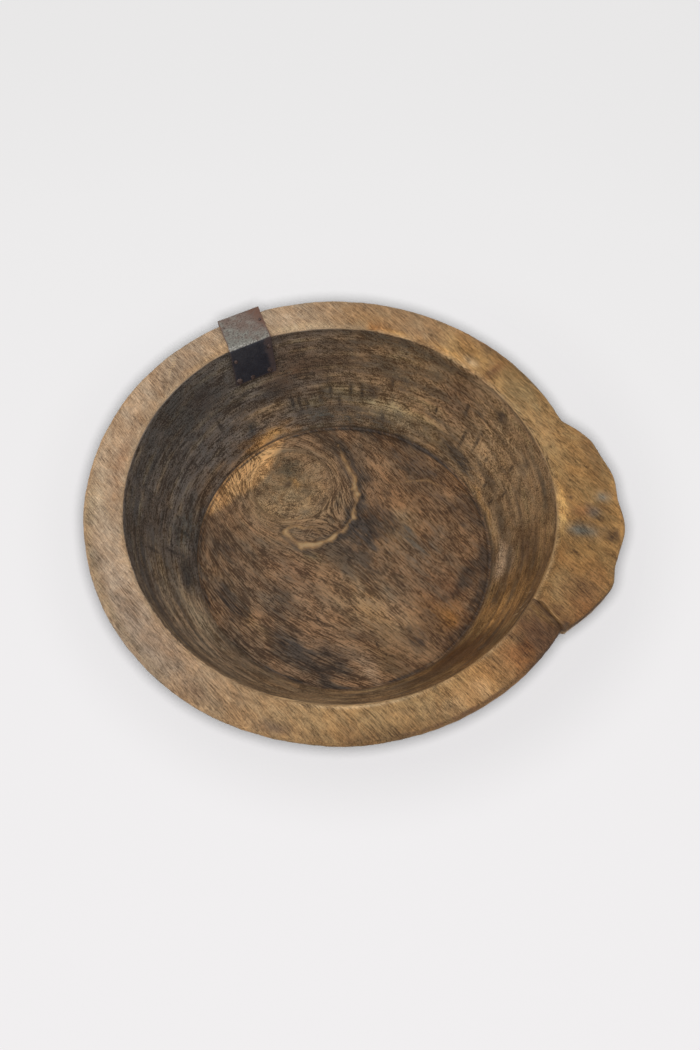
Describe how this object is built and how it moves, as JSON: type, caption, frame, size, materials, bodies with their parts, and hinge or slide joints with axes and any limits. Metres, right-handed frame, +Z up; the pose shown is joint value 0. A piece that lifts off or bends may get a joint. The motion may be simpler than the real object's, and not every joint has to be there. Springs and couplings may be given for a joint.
{
  "type": "dough bowl",
  "caption": "Round wooden dough bowl carved from one block, with a broad flat rim, a lug to hold it by and a sheet-iron repair patch folded over the rim and tacked down.",
  "frame": {"origin": "centre of the flat base, on the surface that the bowl stands on", "axes": "+Z up through the mouth, +X towards the lug, so the patch is at the back left"},
  "size_m": [0.4766, 0.448, 0.1344],
  "materials": {
    "bowl_wood": "old bare wood, dull and worn, darkened inside by use",
    "patch_iron": "old sheet iron, dull grey and pitted, rusty at its edges",
    "tack_iron": "hand-made iron, rusted brown"
  },
  "bodies": {
    "root": {"bowl_body": "bowl_wood", "rim_patch": "patch_iron", "top_tack": "tack_iron", "inner_tack_1": "tack_iron", "inner_tack_2": "tack_iron", "inner_tack_3": "tack_iron", "inner_tack_4": "tack_iron", "inner_tack_5": "tack_iron", "outer_tack_1": "tack_iron", "outer_tack_2": "tack_iron", "outer_tack_3": "tack_iron", "outer_tack_4": "tack_iron", "outer_tack_5": "tack_iron"}
  },
  "joints": []
}
